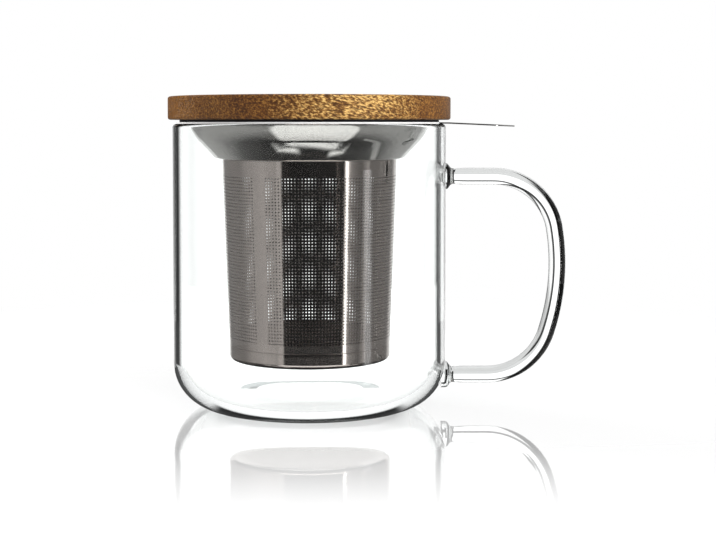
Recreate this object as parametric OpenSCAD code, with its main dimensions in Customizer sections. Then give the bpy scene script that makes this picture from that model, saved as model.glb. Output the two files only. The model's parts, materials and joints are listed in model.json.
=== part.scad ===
// Glass tea mug with a steel strainer basket hung in it and a loose wooden lid.
// Millimetres. +Z is up, +X runs through the handle, the front is -Y.
// The origin is on the mug's own axis, at the level it stands on.

/* [Glass] */
// outside diameter of the mug
mug_d = 90; // [84:1:96]
// height of the rim above the table
mug_h = 93.4; // [88:0.1:100]
// thickness of the glass wall
wall_t = 2.6; // [2:0.1:3.2]
// thickness of the glass floor
floor_t = 3.0; // [2.4:0.1:4]
// outside radius of the bottom corner
corner_out_r = 15; // [12:0.5:18]
// inside radius of the bottom corner
corner_in_r = 13; // [10:0.5:15]
// rounding of each edge of the rim
rim_round = 0.9; // [0.4:0.1:1]
// inner radius of the ring the mug stands on
foot_in_r = 24; // [20:1:26]
// height of the hollow under the floor
foot_rise = 0.8; // [0.4:0.1:1.2]

/* [Handle] */
// diameter of the glass rod
rod_d = 5.6; // [5:0.1:6.5]
// height of the middle bend's centre
mid_z = 46.94; // [45:0.01:49]
// farthest point of the rod's centre line from the mug's axis
reach = 82.1; // [76:0.1:88]
// radius of the long middle bend
mid_bend_r = 73.2; // [71:0.1:76]
// distance from the middle bend's centre to the upper one's
top_shift = 52.78; // [50.75:0.145:55.1]
// distance from the middle bend's centre to the lower one's
low_shift = 52.54; // [49.95:0.185:53.65]
// diameter of the pad fused to the wall at each end
pad_d = 8.8; // [8:0.1:10]
// how far a pad stands off the wall
pad_t = 1.3; // [0.8:0.1:1.6]
// depth to which the pads sink in the wall
weld_bite = 0.2; // [0.1:0.05:0.4]

/* [Collar] */
// thickness of the pressed sheet
sheet_t = 0.5; // [0.4:0.05:0.6]
// outer diameter of the flange that lies on the rim
flange_d = 89; // [87:0.5:90]
// radius at the flange's inner bend
mouth_r = 39.6; // [38.6:0.1:40]
// radius at the knee between the band and the cone
knee_r = 38.2; // [37.6:0.1:38.6]
// drop from the rim to the knee
knee_drop = 3.9; // [3:0.1:5]
// radius at the cone's lower bend
cone_low_r = 31.0; // [30.4:0.1:33]
// drop from the rim to the shelf under the cone
shelf_drop = 11.9; // [10:0.1:14]
// depth of the neck that holds the basket
neck_h = 3.6; // [2.5:0.1:4.5]

/* [Thumb tab] */
// width of the tab
tab_w = 22; // [16:1:26]
// distance from the mug's axis to the tab's tip
tab_reach = 67.8; // [62:0.1:72]
// fall of the tab over its length
tab_fall = 1.0; // [0:0.1:2]

/* [Basket] */
// thickness of the basket sheet
basket_t = 0.4; // [0.3:0.05:0.5]
// outside diameter at the top
basket_top_d = 57.6; // [56:0.1:58.4]
// outside diameter at the bottom
basket_low_d = 53.2; // [50:0.1:55]
// height of the basket's floor above the table
basket_z = 15.9; // [12:0.1:24]
// outside radius of the base's corner
base_round = 3.0; // [2:0.1:3.6]
// height of the base's plain wall
base_wall_h = 5.0; // [4.4:0.1:7]
// height of the base's tongue inside the sleeve
tongue_h = 3.6; // [2:0.1:5]
// clearance between the nested walls
nest_gap = 0.08; // [0.05:0.01:0.1]

/* [Perforation] */
// diameter of a sleeve hole
hole_d = 2.2; // [1.2:0.1:2.6]
// holes in a full turn of the sleeve
hole_cols = 36; // [24:6:36]
// rows of holes in the sleeve
hole_rows = 12; // [8:1:12]
// plain band above the first row's centre line
plain_top = 6.4; // [5.5:0.1:8]
// plain band below the last row's centre line
plain_low = 4.2; // [3:0.1:6]
// direction of the plain seam, turning from +X
seam_az = 234; // [200:1:250]
// diameter of a hole in the base
base_hole_d = 1.4; // [0.8:0.1:1.6]
// rings of holes in the base
base_rings = 6; // [2:1:7]
// distance between the rings
base_pitch = 3.4; // [3:0.1:3.5]

/* [Lid] */
// diameter of the wooden board
lid_d = 93; // [92:0.5:98]
// thickness of the board
lid_t = 7.6; // [7:0.1:10]
// rounding of the board's edges
lid_round = 0.8; // [0.4:0.1:1.5]
// diameter of the plug under the board
plug_d = 73; // [70:0.5:73.4]
// depth of the plug
plug_h = 5.8; // [5:0.1:6]
// depth of the groove round the plug
groove_t = 0.8; // [0.5:0.1:1.2]
// height of the groove
groove_h = 2; // [1:0.1:2.4]

/* [Gasket and seal] */
// thickness of the flat gasket between board and flange
gasket_t = 0.8; // [0.5:0.1:1]
// outer diameter of the gasket
gasket_d = 85.4; // [83:0.1:87]
// thickness of the ring round the plug
ring_t = 1.0; // [0.8:0.1:1.1]
// how far each fin stands out of the ring
fin_t = 0.5; // [0.3:0.1:0.6]
// thickness of each fin
fin_h = 0.6; // [0.4:0.1:0.8]
// height of the plug's end that the ring leaves free
ring_lift = 0.8; // [0.4:0.1:1.2]

/* [Hidden] */
$fn = 96;
mug_r = mug_d / 2;
rod_r = rod_d / 2;
// directions whose lengths, 145 and 185, are whole, so that the bends meet exactly
top_way = [143, 24];
low_way = [176, -57];
mid_c = [reach - mid_bend_r, mid_z];
top_c = mid_c + top_way * top_shift / 145;
low_c = mid_c + low_way * low_shift / 185;
top_bend_r = mid_bend_r - top_shift;
low_bend_r = mid_bend_r - low_shift;
lap_z = mug_h - corner_out_r;
top_z = top_c[1] + top_bend_r;
low_z = low_c[1] - low_bend_r;
flange_z = mug_h + sheet_t;
shelf_z = mug_h - shelf_drop;
basket_top_r = basket_top_d / 2;
basket_low_r = basket_low_d / 2;
sleeve_z = basket_z + base_wall_h;
sleeve_h = shelf_z - sleeve_z;
neck_r = basket_top_r - basket_t - nest_gap - sheet_t / 2;
neck_lean = (basket_top_r - basket_low_r) / sleeve_h * neck_h;
tongue_r = basket_low_r - basket_t - nest_gap;
hole_low = sleeve_z + plain_low;
hole_span = sleeve_h - plain_low - plain_top;
board_z = flange_z + gasket_t;
plug_r = plug_d / 2;
ring_z = board_z - plug_h + ring_lift;
fin_gap = (flange_z - ring_z) / 3;
groove_z = (board_z + ring_z - groove_h) / 2;
round_fn = 48;
drill_fn = 16;

// half profile of a solid foot: a block with its outer lower corner rounded
module round_foot(r, h, corner) {
    square([r - corner, h]);
    translate([0, corner]) square([r, h - corner]);
    translate([r - corner, corner]) circle(corner);
}

// upright bar in the half profile with both upper corners rounded
module round_top(r_in, r_out, z_low, z_top, edge) {
    translate([r_in, z_low]) square([r_out - r_in, z_top - z_low - edge]);
    translate([r_in + edge, z_low]) square([r_out - r_in - 2 * edge, z_top - z_low]);
    for (x = [r_in + edge, r_out - edge]) {
        translate([x, z_top - edge]) circle(edge, $fn = round_fn);
    }
}

// unit vector from a to b, and a vector turned a quarter turn to the left
function toward(a, b) = (b - a) / norm(b - a);
function left(v) = [-v[1], v[0]];

// straight stretch of sheet between a and b, about its middle line
module strip(a, b, t) {
    n = left(toward(a, b)) * t / 2;
    polygon([a - n, b - n, b + n, a + n]);
}

// rounded bend of sheet at corner p, coming from a and leaving for b
module bend(a, p, b, r, t) {
    u = toward(p, a);
    v = toward(p, b);
    half = acos(u * v) / 2;
    side = (u[0] * v[1] - u[1] * v[0]) > 0 ? 1 : -1;
    centre = p + (u + v) / norm(u + v) * r / sin(half);
    start = left(u) * -side;
    stop = left(v) * side;
    far = 2 * (r + t);
    intersection() {
        translate(centre) difference() {
            circle(r + t / 2);
            if (r > t / 2) circle(r - t / 2);
        }
        polygon([centre, centre + start * far, centre + (start + stop) * far, centre + stop * far]);
    }
}

// point on the line from p toward q where a bend of radius r at p ends
function bend_end(a, p, b, q, r) = p + toward(p, q) * r / tan(acos(toward(p, a) * toward(p, b)) / 2);

// pressed sheet that follows the points ps, bent to radius rs at each inner point
module sheet_path(ps, rs, t) {
    n = len(ps);
    for (i = [0:n - 2]) {
        from = i == 0 ? ps[0] : bend_end(ps[i - 1], ps[i], ps[i + 1], ps[i + 1], rs[i]);
        to = i == n - 2 ? ps[n - 1] : bend_end(ps[i], ps[i + 1], ps[i + 2], ps[i], rs[i + 1]);
        strip(from, to, t);
    }
    for (i = [1:n - 2]) bend(ps[i - 1], ps[i], ps[i + 1], rs[i], t);
}

// glass beaker with a rounded foot and a hollow under the floor
module mug_body() {
    color([0.9, 0.95, 0.96, 0.35]) rotate_extrude() difference() {
        union() {
            round_foot(mug_r, lap_z, corner_out_r);
            round_top(mug_r - wall_t, mug_r, lap_z - corner_out_r, mug_h, rim_round);
        }
        translate([0, floor_t]) round_foot(mug_r - wall_t, lap_z - floor_t, corner_in_r);
        polygon([[0, -1], [foot_in_r, -1], [foot_in_r, 0], [foot_in_r - 6, foot_rise], [0, foot_rise]]);
    }
}

// one bend of the handle rod, about the point c, between the directions u and v
module rod_bend(c, r, u, v) {
    translate([c[0], c[1], 0]) intersection() {
        rotate_extrude() translate([r, 0]) circle(rod_r, $fn = round_fn);
        translate([0, 0, -rod_d]) linear_extrude(2 * rod_d) polygon([[0, 0], u, u + v, v]);
    }
}

// straight end of the rod at height z with the pad that is fused to the wall
module rod_end(z, run) {
    translate([mug_r - 2, z, 0]) rotate([0, 90, 0]) {
        cylinder(r = rod_r, h = run - mug_r + 2, $fn = round_fn);
        rotate_extrude($fn = round_fn) {
            square([pad_d / 2, 2 + pad_t / 2]);
            square([pad_d / 2 - pad_t / 2, 2 + pad_t]);
            translate([pad_d / 2 - pad_t / 2, 2 + pad_t / 2]) circle(pad_t / 2, $fn = round_fn);
        }
    }
}

// bent glass rod, trimmed to the wall it is fused to
module handle() {
    color([0.88, 0.94, 0.95, 0.4]) difference() {
        rotate([90, 0, 0]) {
            rod_end(top_z, top_c[0]);
            rod_bend(top_c, top_bend_r, [0, reach], top_way);
            rod_bend(mid_c, mid_bend_r, top_way, low_way);
            rod_bend(low_c, low_bend_r, low_way, [0, -reach]);
            rod_end(low_z, low_c[0]);
        }
        cylinder(r = mug_r - weld_bite, h = mug_h);
    }
}

// flat finger tab that runs out from the flange and falls a little
module thumb_tab() {
    root = mouth_r + 2;
    fold = mug_r + 0.5;
    tip_r = tab_w / 2;
    intersection() {
        translate([0, tab_w, 0]) rotate([90, 0, 0]) linear_extrude(2 * tab_w) polygon([
            [root, mug_h], [fold, mug_h], [tab_reach, mug_h - tab_fall],
            [tab_reach, flange_z - tab_fall], [fold, flange_z], [root, flange_z]]);
        translate([0, 0, mug_h - tab_w]) linear_extrude(2 * tab_w) {
            translate([0, -tip_r]) square([tab_reach - tip_r, tab_w]);
            translate([tab_reach - tip_r, 0]) circle(tip_r);
        }
    }
}

// one pressing: flange on the rim, band, cone, shelf and the neck in the basket
module infuser_collar() {
    color([0.72, 0.72, 0.73]) {
        rotate_extrude() sheet_path([
            [flange_d / 2, mug_h + sheet_t / 2], [mouth_r, mug_h + sheet_t / 2],
            [knee_r, mug_h - knee_drop], [cone_low_r, shelf_z + sheet_t / 2],
            [neck_r, shelf_z + sheet_t / 2], [neck_r - neck_lean, shelf_z - neck_h]],
            [0, 0.85, 1.2, 1.3, sheet_t / 2, 0], sheet_t);
        thumb_tab();
    }
}

// tapered sheet sleeve with a grid of holes and one plain seam
module basket_sleeve() {
    step = 360 / hole_cols;
    rise = hole_span / (hole_rows - 1);
    drill_from = min(basket_low_r, basket_top_r) - 1;
    drill_h = abs(basket_top_r - basket_low_r) + 2;
    color([0.62, 0.62, 0.63]) difference() {
        rotate_extrude() polygon([
            [basket_low_r - basket_t, sleeve_z], [basket_low_r, sleeve_z],
            [basket_top_r, shelf_z], [basket_top_r - basket_t, shelf_z]]);
        for (i = [1:hole_cols - 1]) {
            rotate([0, 0, seam_az + i * step]) for (j = [0:hole_rows - 1]) {
                translate([drill_from, 0, hole_low + j * rise]) rotate([0, 90, 0])
                    cylinder(d = hole_d, h = drill_h, $fn = drill_fn);
            }
        }
    }
}

// drawn cup that closes the sleeve, with rings of holes in its floor
module basket_base() {
    color([0.66, 0.66, 0.67]) difference() {
        rotate_extrude() {
            sheet_path([[0, basket_z + basket_t / 2], [basket_low_r - basket_t / 2, basket_z + basket_t / 2],
                [basket_low_r - basket_t / 2, sleeve_z]], [0, base_round - basket_t / 2, 0], basket_t);
            translate([tongue_r - basket_t, sleeve_z - basket_t])
                square([basket_low_r - tongue_r + basket_t, basket_t]);
            translate([tongue_r - basket_t, sleeve_z - basket_t]) square([basket_t, tongue_h + basket_t]);
        }
        for (k = [1:base_rings]) for (i = [0:6 * k - 1]) rotate([0, 0, i * 60 / k])
            translate([k * base_pitch, 0, basket_z - 1]) cylinder(d = base_hole_d, h = 3, $fn = drill_fn);
    }
}

// wooden board with its plug turned in one, grooved for the seal
module lid_board() {
    color([0.48, 0.3, 0.15]) translate([0, 0, board_z]) rotate_extrude() {
        difference() {
            union() {
                square([lid_d / 2 - lid_round, lid_t]);
                translate([0, lid_round]) square([lid_d / 2, lid_t - 2 * lid_round]);
                for (z = [lid_round, lid_t - lid_round]) {
                    translate([lid_d / 2 - lid_round, z]) circle(lid_round, $fn = round_fn);
                }
                translate([0, -plug_h]) square([plug_r - lid_round, plug_h + 1]);
                translate([0, lid_round - plug_h]) square([plug_r, plug_h + 1 - lid_round]);
                translate([plug_r - lid_round, lid_round - plug_h]) circle(lid_round, $fn = round_fn);
            }
            translate([plug_r - groove_t, groove_z - board_z]) square([groove_t + 1, groove_h]);
        }
    }
}

// flat soft washer round the plug, between the board and the flange
module lid_gasket() {
    color([0.06, 0.06, 0.065]) translate([0, 0, flange_z]) difference() {
        cylinder(d = gasket_d, h = gasket_t);
        translate([0, 0, -1]) cylinder(r = plug_r, h = gasket_t + 2);
    }
}

// soft ring under the gasket, with its root in the plug's groove and two fins
module lid_seal() {
    ring_r = plug_r + ring_t;
    color([0.06, 0.06, 0.065]) rotate_extrude() {
        translate([plug_r, ring_z]) square([ring_t, flange_z - ring_z]);
        translate([plug_r - groove_t, groove_z]) square([groove_t + ring_t / 2, groove_h]);
        for (k = [1:2]) translate([ring_r - fin_t, ring_z + k * fin_gap - fin_h / 2]) {
            square([2 * fin_t, fin_h]);
        }
    }
}

mug_body();
handle();
infuser_collar();
basket_sleeve();
basket_base();
lid_board();
lid_gasket();
lid_seal();
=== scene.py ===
# %% [markdown]
# # Glass tea mug with a steel basket and a wooden lid
# The construction model gives every piece its true size and place. This script dresses it: it
# replaces the plain solids with smooth lathe-turned glass and steel, punches the basket's fine
# holes, and gives wood, steel and rubber their finish. Lengths are metres, and `MM` turns
# millimetres into metres. `HAIR` is the gap that keeps two faces from lying in one plane.

# %% Load the frame
import json
import math

import bmesh
import bpy
from mathutils import Matrix, Vector

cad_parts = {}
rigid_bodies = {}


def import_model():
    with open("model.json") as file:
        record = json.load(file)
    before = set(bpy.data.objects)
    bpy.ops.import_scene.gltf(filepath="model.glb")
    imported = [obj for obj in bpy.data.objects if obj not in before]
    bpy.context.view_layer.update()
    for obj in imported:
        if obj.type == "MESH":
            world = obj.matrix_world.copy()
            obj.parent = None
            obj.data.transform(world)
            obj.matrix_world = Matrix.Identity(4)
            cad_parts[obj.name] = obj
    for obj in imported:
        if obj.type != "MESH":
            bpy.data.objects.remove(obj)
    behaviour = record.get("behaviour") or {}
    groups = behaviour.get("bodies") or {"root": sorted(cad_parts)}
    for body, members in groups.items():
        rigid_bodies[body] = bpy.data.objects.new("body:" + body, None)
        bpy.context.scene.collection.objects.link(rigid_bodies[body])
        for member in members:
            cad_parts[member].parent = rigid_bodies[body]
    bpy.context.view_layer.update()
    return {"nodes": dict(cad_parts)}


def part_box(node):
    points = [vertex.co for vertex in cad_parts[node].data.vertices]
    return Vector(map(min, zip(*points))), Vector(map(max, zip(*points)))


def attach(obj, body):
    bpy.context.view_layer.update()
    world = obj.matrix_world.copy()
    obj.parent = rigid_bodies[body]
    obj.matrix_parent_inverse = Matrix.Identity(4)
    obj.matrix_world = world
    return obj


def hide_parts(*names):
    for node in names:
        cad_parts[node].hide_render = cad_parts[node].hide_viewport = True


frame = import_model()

MM = 0.001
HAIR = 0.02 * MM
print("nodes:", ", ".join(sorted(frame["nodes"])))

# %% [markdown]
# Radii and heights come from the solids themselves, so a change of them in the construction
# model is followed here. A node's box holds its lowest and highest corner: the highest X is the
# piece's radius, and the two Z are its ends. Walls, sheets, the rod and the flange's edge don't
# show in a box, so they are written here.

# %% Sizes read from the frame
_, glass_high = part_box("mug_body")
_, collar_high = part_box("infuser_collar")
sleeve_low, sleeve_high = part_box("basket_sleeve")
base_low, base_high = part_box("basket_base")
_, board_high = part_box("lid_board")
_, gasket_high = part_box("lid_gasket")
seal_low, seal_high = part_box("lid_seal")
_, rod_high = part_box("handle")

MUG_R = round(glass_high.x, 5)
RIM_Z = round(glass_high.z, 5)
WALL = 2.6 * MM
FLOOR_T = 3.0 * MM
ROD_R = 2.8 * MM
SHEET = 0.5 * MM
SLEEVE_SHEET = 0.4 * MM
FLANGE_R = 44.5 * MM
SHELF_Z = round(sleeve_high.z, 5)
SLEEVE_TOP_R = round(sleeve_high.x, 5)
SLEEVE_LOW_R = round(base_high.x, 5)
SLEEVE_Z = round(sleeve_low.z, 5)
BASE_Z = round(base_low.z, 5)
FLANGE_Z = RIM_Z + SHEET
LID_R = round(board_high.x, 5)
LID_Z = round(gasket_high.z, 5)
LID_TOP = round(board_high.z, 5)
print(f"glass radius {MUG_R / MM:.1f} mm, rim {RIM_Z / MM:.1f} mm, lid {LID_R / MM:.1f} mm")

# %% [markdown]
# ## Building blocks
# Most pieces here are turned, so one function does the lathe's work: it draws a half profile
# as a chain of edges, rounds the corners with a vertex bevel, and spins it about Z. Writing a
# corner as (radius, height, rounding) keeps a profile as short as a dimensioned drawing.


# %% Lathe
def shade(mesh, sharp_deg):
    """Shade a mesh smooth, but keep the edges that turn by more than this angle hard."""
    mesh.shade_smooth()
    mesh.set_sharp_from_angle(angle=math.radians(sharp_deg))


def to_object(bm, name):
    """Write a bmesh into a new object."""
    bmesh.ops.recalc_face_normals(bm, faces=bm.faces)
    mesh = bpy.data.meshes.new(name)
    bm.to_mesh(mesh)
    bm.free()
    shade(mesh, 40)
    obj = bpy.data.objects.new(name, mesh)
    bpy.context.scene.collection.objects.link(obj)
    return obj


def rounded_chain(bm, corners, segments):
    """Edges through the corners (r, z, rounding) in the XZ plane, with the corners rounded."""
    verts = [bm.verts.new((r, 0, z)) for r, z, rounding in corners]
    for a, b in zip(verts, verts[1:]):
        bm.edges.new((a, b))
    for vert, (r, z, rounding) in zip(verts, corners):
        if rounding:
            way_in, way_out = [(e.other_vert(vert).co - vert.co) for e in vert.link_edges]
            reach = rounding / math.tan(way_in.angle(way_out) / 2)
            bmesh.ops.bevel(bm, geom=[vert], offset=reach, segments=segments, profile=0.5,
                            affect="VERTICES", material=-1)
    return bm


def lathe(bm, steps):
    """Spin every edge of the bmesh once round Z and close the seam and the poles."""
    bmesh.ops.spin(bm, geom=bm.verts[:] + bm.edges[:], cent=(0, 0, 0), axis=(0, 0, 1),
                   angle=math.tau, steps=steps, use_merge=True)
    bmesh.ops.remove_doubles(bm, verts=bm.verts, dist=0.0005 * MM)
    return bm


def turned(name, corners, segments=10, steps=192):
    """A turned piece from its half profile; `segments` go into each rounded corner."""
    bm = rounded_chain(bmesh.new(), corners, segments)
    return to_object(lathe(bm, steps), name)


# %% [markdown]
# Some pieces are finished by a modifier, such as a Boolean, or Solidify for a piece of sheet. It
# is applied, so that what follows works on the real mesh. At the end each piece says which body
# carries it, which material it gets and which solids of the construction model it replaces.


# %% Finishing a piece
def apply_modifiers(obj):
    """Replace the object's mesh with the result of its modifiers."""
    graph = bpy.context.evaluated_depsgraph_get()
    mesh = bpy.data.meshes.new_from_object(obj.evaluated_get(graph))
    obj.modifiers.clear()
    obj.data = mesh
    return obj


def thicken(obj, thickness, sharp_deg, **settings):
    """Give a surface the thickness of its sheet, with these settings of Solidify."""
    skin = obj.modifiers.new("thickness", "SOLIDIFY")
    skin.thickness = thickness
    for key, value in settings.items():
        setattr(skin, key, value)
    apply_modifiers(obj)
    shade(obj.data, sharp_deg)
    return obj


def place(obj, body, material, slot, *nodes):
    """Fasten a finished piece to its body, in place of the solids it stands for."""
    obj.data.materials.clear()
    obj.data.materials.append(material)
    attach(obj, body)
    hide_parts(*nodes)
    print(f"{obj.name}: {len(obj.data.polygons)} faces on body {body}")
    return obj


# %% [markdown]
# ## Materials
# A shader is a small graph. `Nodes` is a short hand for building one. `add` makes a node and
# `feed` fills its inputs: a socket is joined, and anything else becomes the input's value. The
# arithmetic steps have plain names, because a rule such as "under the limit, times the share"
# should read like a sentence.


# %% Shader helpers
class Nodes:
    """A thin wrapper round a node tree."""

    def __init__(self, tree):
        self.tree = tree

    def feed(self, node, inputs):
        """Fill a node's inputs from sockets or values."""
        for key, value in inputs.items():
            if isinstance(value, bpy.types.NodeSocket):
                self.tree.links.new(value, node.inputs[key])
            else:
                node.inputs[key].default_value = value

    def add(self, kind, inputs=None, **settings):
        """A new node, with its properties set and its inputs filled."""
        node = self.tree.nodes.new(kind)
        for key, value in settings.items():
            setattr(node, key, value)
        self.feed(node, inputs or {})
        return node

    def math(self, operation, a, b=0.0, clamp=False):
        """One arithmetic step on numbers or sockets."""
        return self.add("ShaderNodeMath", {0: a, 1: b}, operation=operation,
                        use_clamp=clamp).outputs[0]

    def plus(self, a, b):
        return self.math("ADD", a, b)

    def minus(self, a, b):
        return self.math("SUBTRACT", a, b)

    def times(self, a, b):
        return self.math("MULTIPLY", a, b)

    def larger(self, a, b):
        return self.math("MAXIMUM", a, b)

    def over(self, value, limit):
        """1 where the value is over the limit, and 0 elsewhere."""
        return self.math("GREATER_THAN", value, limit)

    def under(self, value, limit):
        """1 where the value is under the limit, and 0 elsewhere."""
        return self.math("LESS_THAN", value, limit)

    def ramp(self, factor, stops, interpolation="LINEAR"):
        """A colour ramp through (position, grey value or colour) stops."""
        node = self.add("ShaderNodeValToRGB", {0: factor})
        ramp = node.color_ramp
        ramp.interpolation = interpolation
        while len(ramp.elements) < len(stops):
            ramp.elements.new(1.0)
        for element, (position, value) in zip(ramp.elements, stops):
            colour = (value, value, value) if isinstance(value, float) else value
            element.position = position
            element.color = (*colour, 1.0)
        return node.outputs[0]


# %% [markdown]
# Patterns need to know where they are. They read Object coordinates, which lie still in the
# piece, so a grain runs through the solid and doesn't slide when the piece is lifted out.


# %% Pattern helpers
class PatternNodes(Nodes):
    """Nodes with the steps that patterns are made of."""

    def place_at(self):
        """Where the point lies, in the piece's own coordinates."""
        return self.add("ShaderNodeTexCoord").outputs["Object"]

    def part(self, vector, axis):
        """One of the vector's three numbers."""
        return self.add("ShaderNodeSeparateXYZ", {0: vector}).outputs[axis]

    def dot(self, a, b):
        """How far one vector reaches along the other."""
        return self.add("ShaderNodeVectorMath", {0: a, 1: b},
                        operation="DOT_PRODUCT").outputs["Value"]

    def length(self, vector):
        return self.add("ShaderNodeVectorMath", {0: vector}, operation="LENGTH").outputs["Value"]

    def scaled(self, vector, scale, **more):
        """The vector scaled axis by axis: a small scale stretches a pattern that way."""
        return self.add("ShaderNodeMapping", {"Vector": vector, "Scale": scale, **more}).outputs[0]

    def noise(self, vector, scale, **more):
        """A cloudy pattern between 0 and 1."""
        return self.add("ShaderNodeTexNoise",
                        {"Vector": vector, "Scale": scale, **more}).outputs["Fac"]

    def blend(self, share, no, yes):
        """The first colour where the share is 0, and the second where it is 1."""
        return self.add("ShaderNodeMixRGB", {0: share, 1: no, 2: yes}).outputs[0]

    def bump(self, height, strength, depth):
        """The normal, tilted by a height pattern."""
        return self.add("ShaderNodeBump", {"Height": height, "Strength": strength,
                                           "Distance": depth}).outputs[0]


# %% [markdown]
# Every material starts the same way: its tree is emptied, and one Principled shader, which can
# be glass, metal, wood or rubber, is joined to the output.


# %% New materials
def fresh_nodes(owner, kind=PatternNodes):
    """The emptied node tree of a material or a world, in that kind of wrapper."""
    owner.use_nodes = True
    owner.node_tree.nodes.clear()
    return kind(owner.node_tree)


def new_material(name):
    """A new material: itself, its nodes, its Principled shader and its output."""
    material = bpy.data.materials.new(name)
    nodes = fresh_nodes(material)
    shader = nodes.add("ShaderNodeBsdfPrincipled")
    output = nodes.add("ShaderNodeOutputMaterial", {"Surface": shader.outputs[0]})
    return material, nodes, shader, output


# %% [markdown]
# ### Shared effects
# Handling leaves the same marks on glass, steel and rubber: faint smears that change the gloss and
# a little dust. One node group makes them for these materials, and `handled` places it in a
# material with amounts of its own. It puts out a roughness and a height, never a shader.

# %% Node group for handling marks
SMEAR_STOPS = [(0.42, 0.0), (0.68, 1.0)]
DUST_FINER = 9.0


def handled_group():
    """Group with Roughness, Marks and Scale in, and Roughness and Height out."""
    group = bpy.data.node_groups.new("handled", "ShaderNodeTree")
    for name, default in (("Roughness", 0.1), ("Marks", 0.1), ("Scale", 100.0)):
        socket = group.interface.new_socket(name, in_out="INPUT", socket_type="NodeSocketFloat")
        socket.min_value = 0
        socket.default_value = default
    for name in ("Roughness", "Height"):
        group.interface.new_socket(name, in_out="OUTPUT", socket_type="NodeSocketFloat")
    nodes = PatternNodes(group)
    given = nodes.add("NodeGroupInput").outputs
    place_at = nodes.place_at()
    smear = nodes.noise(place_at, given["Scale"], Detail=5.0, Roughness=0.62)
    dust = nodes.noise(place_at, nodes.times(given["Scale"], DUST_FINER), Detail=3.0)
    marks = nodes.times(nodes.ramp(smear, SMEAR_STOPS, "EASE"), given["Marks"])
    rough = nodes.math("ADD", given["Roughness"], marks, clamp=True)
    nodes.add("NodeGroupOutput", {"Roughness": rough, "Height": dust})
    return group


def handled(nodes, roughness, marks, scale):
    """The group's outputs in a material: its polish, how marked it is and how finely."""
    return nodes.add("ShaderNodeGroup", {"Roughness": roughness, "Marks": marks, "Scale": scale},
                     node_tree=HANDLED).outputs


HANDLED = handled_group()
print("node group:", HANDLED.name)

# %% [markdown]
# ### Glass
# Borosilicate glass is clear, with an index of 1.47. Its edges look dark because light from the
# side is lost on its long way through the wall, so the inside absorbs a very little. For shadow
# rays the shader turns transparent: lamps then reach what stands inside, as they do in life.
#
# Some rays are caught in the thick foot and mirrored round and round. A renderer gives up on
# them and returns black. `caught` finds them by their count of mirrorings and lets them out.

# %% Glass
GLASS_INDEX = 1.47
CAUGHT_AFTER = 2.5
CAUGHT_BELOW = 28 * MM


def glass_material():
    """Clear glass with faint handling marks and a trace of absorption."""
    material, nodes, shader, output = new_material("clear_glass")
    marks = handled(nodes, roughness=0.0, marks=0.012, scale=40.0)
    nodes.feed(shader, {"Base Color": (0.985, 0.995, 0.99, 1), "IOR": GLASS_INDEX,
                        "Transmission Weight": 1.0, "Roughness": marks["Roughness"]})
    clear = nodes.add("ShaderNodeBsdfTransparent", {"Color": (0.94, 0.95, 0.95, 1)})
    path = nodes.add("ShaderNodeLightPath").outputs
    in_foot = nodes.under(nodes.part(nodes.place_at(), "Z"), CAUGHT_BELOW)
    caught = nodes.times(nodes.over(path["Glossy Depth"], CAUGHT_AFTER), in_foot)
    open_to = nodes.larger(path["Is Shadow Ray"], caught)
    surface = nodes.add("ShaderNodeMixShader", {0: open_to, 1: shader.outputs[0],
                                                2: clear.outputs[0]})
    inside = nodes.add("ShaderNodeVolumeAbsorption", {"Color": (0.78, 0.82, 0.82, 1),
                                                      "Density": 25.0})
    nodes.feed(output, {"Surface": surface.outputs[0], "Volume": inside.outputs[0]})
    return material


GLASS = glass_material()
print("material:", GLASS.name)

# %% [markdown]
# ### Steel
# The basket is polished stainless sheet. Polished steel still shows the direction of the wheel
# and shallow waves from pressing, so a stretched noise tilts the normal by a hair and the
# handling marks dull it here and there. `waves` sets how uneven a piece is.
#
# Two places aren't polished. The sleeve's inside (`inside`) keeps the mill's matt skin, so the
# far wall shows as an even grey behind the holes. The flange's cut edge (`edge_r`, the radius
# where it starts) is matt too, and it is the bright line under the lid. Matt steel is drawn
# partly as a pale non-metal here, so it gathers the soft light of the room.

# %% Steel
TAB_FROM_X = 42 * MM
COLLAR_EDGE_R = 44.4 * MM
COLLAR_COLOUR = (0.63, 0.615, 0.59)
BASKET_COLOUR = (0.56, 0.50, 0.47)
LINE_SHADE = 0.93
WHITE = (1, 1, 1, 1)


def matt_places(nodes, place_at, inside, edge_r):
    """How matt the steel is: `inside` where it faces the axis, and 1 on the cut edge."""
    normal = nodes.add("ShaderNodeNewGeometry").outputs["Normal"]
    faces_in = nodes.under(nodes.dot(normal, place_at), 0.0)
    from_axis = nodes.length(nodes.scaled(place_at, (1.0, 1.0, 0.0)))
    off_tab = nodes.under(nodes.part(place_at, "X"), TAB_FROM_X)
    on_edge = nodes.times(nodes.over(from_axis, edge_r), off_tab)
    return nodes.larger(nodes.times(faces_in, inside), on_edge)


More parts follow.
